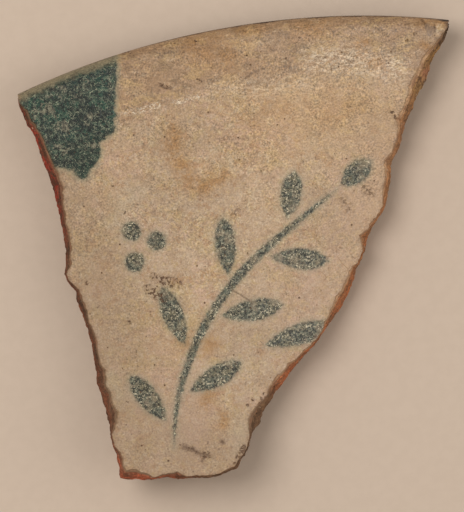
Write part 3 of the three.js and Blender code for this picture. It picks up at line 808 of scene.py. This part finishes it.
def buildFace():
    n, given, out = newGroup(
        "wornFaceWithPaintedLight",
        [("Cream", "Color", srgb(180, 153, 124)), ("Paint", "Color", srgb(83, 87, 72)),
         ("Green", "Color", srgb(40, 58, 44))],
        [("Color", "Color"), ("Roughness", "Float"), ("Height", "Float")],
    )
    # the grain is stronger by the lip than at the foot, and comes and goes in patches
    contrast = n.times(n.ease(n.mark("down"), 4, 50, 1.1, 2.1),
                       n.ease(n.cloud(5.5, 4, 0.7), 0.42, 0.58, 1.3, 0.7))
    grain = n.place(firedGrain, Contrast=contrast)
    colour = n.blend(n.ease(n.cloud(14, 3, 0.6), 0.38, 0.62), given["Cream"], (184, 151, 116))
    for size, start, full, share, tone in faceTones:
        patch = n.ease(n.cloud(size, 4, 0.72), start, full, share)
        colour = n.blend(patch, colour, tone)
    # broad tones over the cream; the last is painted shade, darker where the light falls off
    for kind, share, tone in (("warm", 0.45, (183, 147, 106)), ("blush", 0.45, (184, 151, 129)),
                              ("milk", 0.50, (188, 175, 144)), ("dusk", 0.50, (140, 115, 90))):
        colour = n.blend(n.times(n.mark(kind), share), colour, tone)

    # the band under the lip is browner, with dark and ochre patches drawn out along the rim
    band = n.ease(n.mark("down"), 10.5, 6.5)
    for size, stretch, start, full, share, least, tone in bandTones:
        patch = n.ease(n.cloud(size, 4, 0.8, stretch), start, full, share, least)
        colour = n.blend(n.times(band, patch), colour, tone)
    # pale worn grains near the rim, partly a painted sheen
    paleWearAndSheen = n.times(n.mark("pale"), n.ease(n.cloud(0.5, 5, 0.9, 0.45), 0.46, 0.58))
    colour = n.blend(n.times(paleWearAndSheen, 0.75), colour, (216, 194, 164))
    # painted highlight: light specks along the shoulder where glints fall
    paintedGlints = n.times(n.ease(n.mark("shine"), 0.25, 0.9),
                     n.ease(n.cloud(0.28, 2, 0.8, 0.5), 0.46, 0.66, 0.75))
    colour = n.blend(paintedGlints, colour, (226, 210, 184))

    # rust stains and fine crazing
    rusty = n.times(n.mark("rust"), n.ease(n.cloud(1.6, 5, 0.8), 0.38, 0.58, 1.0, 0.35))
    colour = n.blend(rusty, colour, (154, 110, 60))
    lines = n.ease(n.cells(2.6, "DISTANCE_TO_EDGE", 1.5), 0.040, 0.0)
    lines = n.times(lines, n.ease(n.cloud(2.4, 4, 0.7), 0.42, 0.60))
    crazed = n.times(lines, n.plus(n.times(n.mark("craze"), 0.32), 0.12))
    colour = n.blend(crazed, colour, (124, 90, 60))

    # green run: dark, veined and mottled, thin at its edge and wiped off along the lip
    ragged = n.plus(n.mark("green"), n.ripple(2.2, 1.6, 5, 0.75))
    wiped = n.plus(n.mark("inward"), n.ripple(4.0, 1.9, 5, 0.8))
    colour = n.blend(n.ease(ragged, -1.1, 0.1, 0.7), colour, (136, 128, 102))
    wet = n.ease(ragged, -0.20, 0.35)
    colour = n.blend(n.times(wet, 0.5), colour, (106, 100, 78))
    greenish = n.times(wet, n.ease(wiped, 1.5, 3.1))
    green = n.blend(n.ease(n.cloud(2.4, 4, 0.75), 0.44, 0.56), given["Green"], (24, 35, 27))
    green = n.blend(n.ease(n.cloud(3.5, 3, 0.6), 0.50, 0.60, 0.6), green, (24, 70, 52))
    thick = n.mark("thick")
    green = n.blend(thick, green, (18, 46, 37))
    bare = n.plus(n.times(n.mark("thinned"), 0.14), n.cloud(1.9, 4, 0.8))
    green = n.blend(n.ease(bare, 0.57, 0.63, 0.75), green, (118, 109, 89))
    sparse = n.less(n.ease(n.cloud(4.6, 3, 0.6), 0.46, 0.56, 0.30, 1.0),
                    n.times(thick, 0.8), clamp=True)
    for size, level in ((2.9, 0.50), (2.2, 0.56), (1.5, 0.47)):
        veins = n.sums("ABSOLUTE", n.less(n.cloud(size, 3, 0.65, twist=1.4), level))
        green = n.blend(n.ease(veins, 0.010, 0.003, 0.75), green, (150, 150, 122))
    flecks = n.times(n.ease(n.cloud(0.40, 3, 0.85), 0.60, 0.65, 0.90), sparse)
    green = n.blend(flecks, green, (158, 154, 128))
    green = n.blend(n.ease(n.cloud(0.62, 4, 0.85), 0.50, 0.44, 0.95), green, (17, 23, 17))
    colour = n.blend(greenish, colour, green)

    # brush strokes: soft at the edge, a faint haze round them, speckled all through
    soft = n.plus(n.mark("paint"), n.ripple(1.5, 0.9, 4, 0.75))
    colour = n.blend(n.ease(soft, -0.95, 0.1, 0.25), colour, (130, 132, 110))
    stroke = n.times(n.ease(soft, -0.20, 0.38),
                     n.ease(n.cloud(2.4, 4, 0.7), 0.34, 0.5, 0.98, 0.62))
    clusters = n.ease(n.cloud(1.8, 3, 0.7), 0.42, 0.58, 1.0, 0.35)
    paleSpecks = n.times(n.ease(n.cloud(0.36, 3, 0.88), 0.52, 0.57), clusters)
    speck = n.blend(n.ease(n.cloud(1.9, 3, 0.7), 0.42, 0.60), given["Paint"], (98, 91, 68))
    speck = n.blend(paleSpecks, speck, (198, 184, 154))
    speck = n.blend(n.ease(n.cloud(0.50, 3, 0.88), 0.50, 0.45), speck, (34, 34, 26))
    colour = n.blend(stroke, colour, speck)

    # scattered pin holes, then soil where the marks say
    pits = n.times(n.ease(n.cells(2.1), 0.10, 0.05), n.ease(n.cloud(4.0, 2), 0.47, 0.55, 0.9))
    dirty = n.times(n.ease(n.mark("soil"), 0.12, 0.6),
                    n.ease(n.cloud(0.55, 3, 0.6), 0.52, 0.59, 0.95, 0.16))
    dirty = n.sums("MAXIMUM", dirty, pits)
    soiled = n.place(groundSoil, Amount=0.5, Color=colour)
    colour = n.blend(dirty, soiled["Color"], (86, 56, 32))
    colour = n.blend(n.mark("line"), colour, (88, 62, 40))
    chip = n.plus(n.mark("chip"), n.ripple(0.9, 0.7, 4, 0.85))
    colour = n.blend(n.ease(chip, 0.42, 0.66, 0.85), colour, (132, 107, 84))
    # darker along the broken edge at the right corner, on the face and on its broken side
    burnt = n.times(n.mark("burnt"), n.ease(n.cloud(0.7, 3, 0.7), 0.36, 0.52, 1.0, 0.35))
    colour = n.blend(burnt, colour, (66, 48, 38))

    # darker along the break, and the glaze's own broken side below it
    margin = n.times(n.ease(n.mark("edge"), 0.9, 0.0),
                     n.ease(n.cloud(1.5, 4, 0.7), 0.4, 0.65, 0.6, 0.1))
    margin = n.times(margin, n.ease(greenish, 0, 1, 0.15, 1))
    colour = n.blend(margin, colour, (138, 104, 76))
    # the broken side's tone is painted light, lightened for right-facing sides that the lamps leave
    # in shade
    side = n.blend(n.mark("darkerSide"), (186, 148, 112), (112, 84, 60))
    side = n.blend(n.times(greenish, 0.7), side, (52, 58, 44))
    side = n.blend(burnt, side, (66, 48, 38))
    colour = n.blend(n.mark("under"), colour, side)
    n.plug(n.tinted(colour, grain["Shade"]), out["Color"])

    dull = n.ease(n.cloud(1.3, 4, 0.7), 0.35, 0.7, 0.62, 0.40)
    shiny = n.times(n.mark("shine"), n.ease(n.cloud(0.8, 3, 0.7), 0.42, 0.55, 0.24))
    n.plug(n.less(dull, shiny), out["Roughness"])
    height = n.less(grain["Height"], n.times(soiled["Mask"], 0.8))
    height = n.less(height, n.times(crazed, 0.8))
    height = n.less(height, n.times(dirty, 0.9))
    ripples = n.times(n.mark("shine"), n.cloud(1.0, 3, 0.6, 0.5))
    n.plug(n.plus(height, n.times(ripples, 1.6)), out["Height"])
    return n.tree


wornFaceWithPaintedLight = buildFace()


def newFinish(name):
    finish = bpy.data.materials.new(name)
    finish.use_nodes = True
    return finish, Nodes(finish.node_tree)


def surfaced(finish, n, colour, rough, height, depth, specular=0.5):
    shader = n.tree.nodes["Principled BSDF"].inputs
    n.plug(colour, shader["Base Color"])
    n.plug(rough, shader["Roughness"])
    shader["Specular IOR Level"].default_value = specular
    bump = n.put("ShaderNodeBump")
    bump.inputs["Distance"].default_value = depth / 1000
    n.plug(height, bump.inputs["Height"])
    n.plug(bump.outputs[0], shader["Normal"])
    return finish


def soiledTone(n, colour, soil, grain):
    return n.tinted(n.place(groundSoil, Amount=soil, Color=colour)["Color"], grain["Shade"])


glazeShine = 0.4


def faceFinish(name, depth):
    finish, n = newFinish(name)
    face = n.place(wornFaceWithPaintedLight)
    return surfaced(finish, n, face["Color"], face["Roughness"], face["Height"], depth, glazeShine)


# Colours along the break, from the left of the rim down, across the foot and up the right.
# Up the right the tones are painted light: lighter, for right-facing faces that the lamps
# leave in shade.
breakTones = {
    "core": [(0, 112, 62, 44), (0.03, 150, 58, 40), (0.11, 150, 54, 37), (0.15, 120, 68, 46),
             (0.36, 122, 74, 50), (0.40, 200, 102, 68), (0.43, 160, 88, 60), (0.47, 122, 88, 62),
             (0.545, 126, 94, 68), (0.58, 130, 96, 68), (0.595, 180, 106, 67), (0.62, 186, 106, 67),
             (0.74, 184, 114, 72), (0.84, 182, 130, 88), (0.88, 172, 122, 86), (0.91, 168, 120, 78),
             (0.93, 164, 128, 82), (0.945, 178, 122, 90), (0.955, 164, 124, 74),
             (0.972, 168, 124, 76), (0.985, 108, 82, 58), (1, 70, 54, 42)],
    "skin": [(0, 84, 64, 46), (0.04, 122, 64, 46), (0.12, 118, 64, 46), (0.17, 100, 72, 52),
             (0.38, 116, 82, 60), (0.41, 182, 108, 78), (0.48, 136, 104, 78), (0.535, 130, 100, 74),
             (0.58, 134, 102, 74), (0.60, 184, 116, 78), (0.75, 180, 122, 80), (0.9, 174, 128, 88),
             (0.965, 168, 128, 84), (0.985, 104, 80, 58), (1, 78, 60, 46)],
    "dirt": [(0, 72, 54, 37), (0.37, 88, 60, 42), (0.40, 132, 78, 54), (0.46, 96, 70, 52),
             (0.56, 92, 68, 50), (0.60, 124, 84, 58), (0.84, 144, 106, 74), (1, 64, 48, 38)],
    "slip": [(0, 92, 76, 54), (0.05, 116, 78, 54), (0.12, 114, 78, 54), (0.20, 104, 82, 58),
             (0.30, 108, 84, 60), (0.42, 140, 108, 80), (0.52, 132, 104, 78), (0.58, 122, 94, 70),
             (0.60, 168, 128, 94), (0.64, 182, 142, 106), (0.85, 190, 150, 112),
             (0.96, 202, 162, 122), (1, 96, 74, 56)],
}


def brokenClayFinish():
    finish, n = newFinish("brokenRedClay")
    grain = n.place(firedGrain, Contrast=1.3)
    along, deep = n.mark("along"), n.mark("deep")
    core, skin = n.bands(along, breakTones["core"]), n.bands(along, breakTones["skin"])
    edge = n.plus(deep, n.ripple(0.9, 1.8, 4, 0.8))
    skinned = n.plus(n.ease(edge, 0.34, 0.22), n.ease(edge, 0.76, 0.90), clamp=True)
    colour = n.blend(n.times(skinned, 0.9), core, skin)
    patches = n.ease(n.cloud(2.8, 5, 0.8), 0.49, 0.56, 0.8)
    colour = n.blend(patches, colour, n.bands(along, breakTones["dirt"]))
    # streaks that follow the wall: long along the break, thin across it
    sheet = n.put("ShaderNodeCombineXYZ")
    n.plug(n.times(along, 90.0), sheet.inputs["X"])
    n.plug(n.times(deep, 9.0), sheet.inputs["Y"])
    streaks = n.put("ShaderNodeTexNoise")
    n.plug(sheet.outputs[0], streaks.inputs["Vector"])
    tune(streaks, {"Scale": 1, "Detail": 4, "Roughness": 0.75})
    layers = n.ease(streaks.outputs["Fac"], 0.50, 0.62, 0.6)
    colour = n.blend(layers, colour, n.bands(along, breakTones["dirt"]))
    colour = n.blend(n.ease(streaks.outputs["Fac"], 0.40, 0.30, 0.45), colour, (186, 132, 94))
    grits = n.times(n.ease(n.cells(1.1), 0.22, 0.12, 0.7), n.ease(n.cloud(2, 2), 0.5, 0.6))
    colour = n.blend(grits, colour, (196, 172, 146))
    rough = n.ease(n.cloud(1.2, 3), 0.3, 0.7, 0.98, 0.86)
    height = n.plus(grain["Height"], n.times(layers, -0.6))
    return surfaced(finish, n, soiledTone(n, colour, 0.55, grain), rough, height, 0.22, 0.25)


def slipFinish():
    finish, n = newFinish("paleSlip")
    grain = n.place(firedGrain, Contrast=0.5)
    pale = n.bands(n.mark("along"), breakTones["slip"])
    colour = n.blend(n.ease(n.cloud(1.6, 4, 0.7), 0.42, 0.60, 0.8), pale, (140, 100, 72))
    rough = n.ease(n.cloud(1.0, 3), 0.3, 0.7, 0.95, 0.82)
    return surfaced(finish, n, soiledTone(n, colour, 0.8, grain), rough, grain["Height"], 0.12)


def lipFinish():
    finish, n = newFinish("wornLipGlaze")
    face = n.place(wornFaceWithPaintedLight, Cream=(168, 136, 104))
    crest = n.plus(n.mark("crest"), n.ripple(1.0, 2.0, 5, 0.8, 0.5))
    bare = n.ease(crest, 0.52, 0.76)
    brown = n.blend(n.ease(n.cloud(1.2, 4, 0.7), 0.35, 0.7), (92, 66, 46), (62, 44, 34))
    colour = n.blend(bare, face["Color"], brown)
    dark = n.times(n.ease(crest, 0.55, 0.8), n.ease(n.mark("dark"), 0.2, 0.9, 0.9))
    colour = n.blend(dark, colour, (46, 36, 30))
    rough = n.plus(face["Roughness"], n.times(bare, 0.25))
    height = n.less(face["Height"], n.times(bare, 0.5))
    return surfaced(finish, n, colour, rough, height, 0.12, glazeShine)


def outerFinish():
    finish, n = newFinish("wornOuterGlaze")
    grain = n.place(firedGrain, Contrast=0.5)
    colour = n.blend(n.ease(n.cloud(9, 4, 0.6), 0.35, 0.65), (180, 152, 120), (158, 128, 96))
    wiped = n.ease(n.cloud(3.2, 4, 0.7, 0.25), 0.42, 0.66, 0.5)
    colour = n.blend(wiped, colour, (144, 110, 80))
    lines = n.times(n.ease(n.cells(3.4, "DISTANCE_TO_EDGE"), 0.04, 0.0),
                    n.ease(n.cloud(5, 3), 0.45, 0.6, 0.55))
    colour = n.blend(lines, colour, (110, 80, 54))
    lost = n.ease(n.cloud(5.5, 5, 0.72), 0.62, 0.67)
    colour = n.blend(lost, colour, (168, 106, 74))
    scuffed = n.plus(n.mark("seat"), n.times(n.cloud(1.6, 4, 0.75), 0.6))
    scuffed = n.ease(scuffed, 0.75, 1.1)
    colour = n.blend(scuffed, colour, (176, 136, 104))
    dull = n.ease(n.cloud(1.5, 4, 0.7), 0.35, 0.7, 0.66, 0.44)
    dull = n.plus(dull, n.times(n.plus(lost, scuffed), 0.22))
    rough = n.sums("MINIMUM", dull, 0.95)
    height = n.less(grain["Height"], n.times(lost, 1.1))
    return surfaced(finish, n, soiledTone(n, colour, 1.0, grain), rough, height, 0.14)


def finishPiece(piece, node, finish):
    mesh = piece.data
    points = coordsOf(piece) / 1000
    points = np.clip(points, np.array(cadLow), np.array(cadHigh))
    mesh.vertices.foreach_set("co", points.astype(np.float32).ravel())
    mesh.materials.clear()
    mesh.materials.append(finish)
    mesh.shade_smooth()
    mesh.set_sharp_from_angle(angle=fine["sharp"])
    mesh.update()
    piece.name = node + "_worn"
    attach(piece, "root")
    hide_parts(node)
    print(node, len(mesh.polygons), "faces")


creamGlaze = faceFinish("wornCreamGlaze", 0.10)
greenGlaze = faceFinish("greenRunGlaze", 0.12)
paintedGlaze = faceFinish("paintedGlaze", 0.10)
redClay, paleSlip = brokenClayFinish(), slipFinish()
lipGlaze, outerGlaze = lipFinish(), outerFinish()

underSlip = bowl["glaze"] + bowl["slip"]


# A layer of the bowl, broken off along the break line
def brokenOff(name, rows, cut):
    ring, block = turnedRing(name + "Ring", rows), breakBlock(name + "Block", cut)
    piece = shaped(name, ring, block, "INTERSECT")
    drop(ring, block)
    return piece


# How far each layer stands back from the clay at the break, how much it chips, and its grain
clayCut = {"inset": 0, "chips": 0, "grain": 1}
slipCut = {"inset": 0.01, "chips": 0.15, "grain": 0}
glazeCut = {"inset": 0.03, "chips": 0.42, "grain": 0}
lipCut = {"inset": 0.02, "chips": 0.3, "grain": 0}
outerCut = {"inset": 0.10, "chips": 0.5, "grain": 0.4}


def makeClay():
    back = rowsOn(bowl["outer"], fine["hidden"], whole=True)
    nose = noseRows(bowl["outer"], underSlip, fine["hiddenNose"])
    hollow = rowsOn(underSlip, fine["hidden"])
    piece = brokenOff("clay", [*back[::-1], *nose, *hollow], clayCut)
    markBreak(piece)
    finishPiece(piece, "clay_body", redClay)


def makeSlip():
    below, above = rowsOn(underSlip, fine["hidden"]), rowsOn(bowl["glaze"], fine["hidden"])
    piece = brokenOff("slip", [*below[::-1], *above], slipCut)
    markBreak(piece)
    finishPiece(piece, "slip_coat", paleSlip)


def makeGlaze():
    below, above = rowsOn(bowl["glaze"], fine["hidden"]), rowsOn(0, fine["profile"], 1.0)
    whole = brokenOff("glaze", [*below[::-1], *above], glazeCut)
    print("whole glaze", len(whole.data.polygons), "faces")
    named = {"green_splash": splash, **strokes}
    for seed, (node, line) in enumerate(named.items(), strokeCut["seed"]):
        cutter = through("stroke", line, seed)
        inlay = shaped(node, whole, cutter, "INTERSECT")
        left = shaped("left", whole, cutter, "DIFFERENCE")
        drop(whole, cutter)
        whole = left
        markFace(inlay)
        green = node == "green_splash"
        finishPiece(inlay, node,
                    greenGlaze if green else paintedGlaze)
    markFace(whole)
    finishPiece(whole, "inner_glaze", creamGlaze)


def makeLip():
    outside = [rowAtLip(bowl["lipWall"]), *noseRows(0, 0, fine["nose"], 1.0), rowAtLip(0, 1.0)]
    inside = [rowAtLip(underSlip), *noseRows(bowl["outer"], underSlip, fine["hiddenNose"])[::-1],
              rowAtLip(bowl["lipWall"] - bowl["outer"])]
    piece = brokenOff("lip", [*outside, *inside], lipCut)
    points = coordsOf(piece)
    markFace(piece, sheet=False)
    # the crest is less worn at the left, and dark at the right corner
    outwards = np.clip(1 - fromCrest(points) / (bowl["lipWall"] / 2), -1, 1)
    worn = np.interp(points[:, 0], [-22, -6, 30], [-0.16, -0.02, 0.03])
    writeMark(piece, "crest", outwards + worn)
    writeMark(piece, "dark", np.interp(points[:, 0], [31, 36], [0, 1]))
    finishPiece(piece, "lip_glaze", lipGlaze)


def makeOuter():
    back = rowsOn(0, fine["backProfile"], 0.5, whole=True)
    under = rowsOn(bowl["outer"], fine["hidden"], whole=True)
    piece = brokenOff("outer", [*back, *under[::-1]], outerCut)
    writeMark(piece, "seat", np.interp(coordsOf(piece)[:, 2], [0.02, 0.5], [1, 0]))
    finishPiece(piece, "outer_glaze", outerGlaze)


makeClay()
makeSlip()
makeGlaze()
makeLip()
makeOuter()
print("pieces made")

# Floor, light and camera. Lengths are in metres here, but for the camera's aim, view and lens in
# mm. The floor is just clear of the worn flat.
studio = {
    "floor": (200, 180, 161), "floorSpeck": (190, 170, 151), "floorSize": 3.0, "floorAt": -0.00005,
    "keyAt": (-0.31, 0.24, 0.77), "keySize": 0.52, "keyPower": 4.1,
    "fillAt": (0.6, -0.2, 0.6), "fillSize": 0.8, "fillPower": 1.5,
    "sky": (1, 0.97, 0.93, 1), "skyStrength": 0.47,
    "aim": (-5.89, -7.87), "turn": -9.812, "tall": 87.04, "lens": 800, "sensor": 36,
    "above": 0.008, "farthest": 20,
}


def makeStudio():
    bm = bmesh.new()
    bmesh.ops.create_grid(bm, x_segments=4, y_segments=4, size=studio["floorSize"] / 2)
    bmesh.ops.translate(bm, vec=(0, 0, studio["floorAt"]), verts=bm.verts)
    floor = newObject("floor", bm)
    paper, n = newFinish("palePaper")
    shader = n.tree.nodes["Principled BSDF"]
    tone = n.blend(n.ease(n.cloud(2.0, 2), 0.3, 0.7, 0.25), studio["floor"], studio["floorSpeck"])
    n.plug(tone, shader.inputs["Base Color"])
    tune(shader, {"Roughness": 0.9, "Specular IOR Level": 0.2})
    floor.data.materials.append(paper)
    for name in ("key", "fill"):
        light = bpy.data.lights.new(name, "AREA")
        light.shape, light.size = "DISK", studio[name + "Size"]
        light.energy = studio[name + "Power"]
        lamp = bpy.data.objects.new(name, light)
        lamp.location = studio[name + "At"]
        lamp.rotation_euler = (-Vector(lamp.location)).to_track_quat("-Z", "Y").to_euler()
        lamp.visible_camera = False
        scene.collection.objects.link(lamp)
    sky = bpy.data.worlds.new("studioSky")
    sky.use_nodes = True
    background = sky.node_tree.nodes["Background"]
    tune(background, {"Color": studio["sky"], "Strength": studio["skyStrength"]})
    scene.world = sky


def makeCamera():
    lens = bpy.data.cameras.new("camera")
    lens.lens, lens.sensor_width = studio["lens"], studio["sensor"]
    lens.clip_end = studio["farthest"]
    away = studio["tall"] / 1000 * lens.lens / lens.sensor_width + studio["above"]
    camera = bpy.data.objects.new("camera", lens)
    camera.location = (studio["aim"][0] / 1000, studio["aim"][1] / 1000, away)
    camera.rotation_euler = (0, 0, math.radians(studio["turn"]))
    scene.collection.objects.link(camera)
    scene.camera = camera


makeStudio()
makeCamera()
scene.view_settings.view_transform = "Standard"
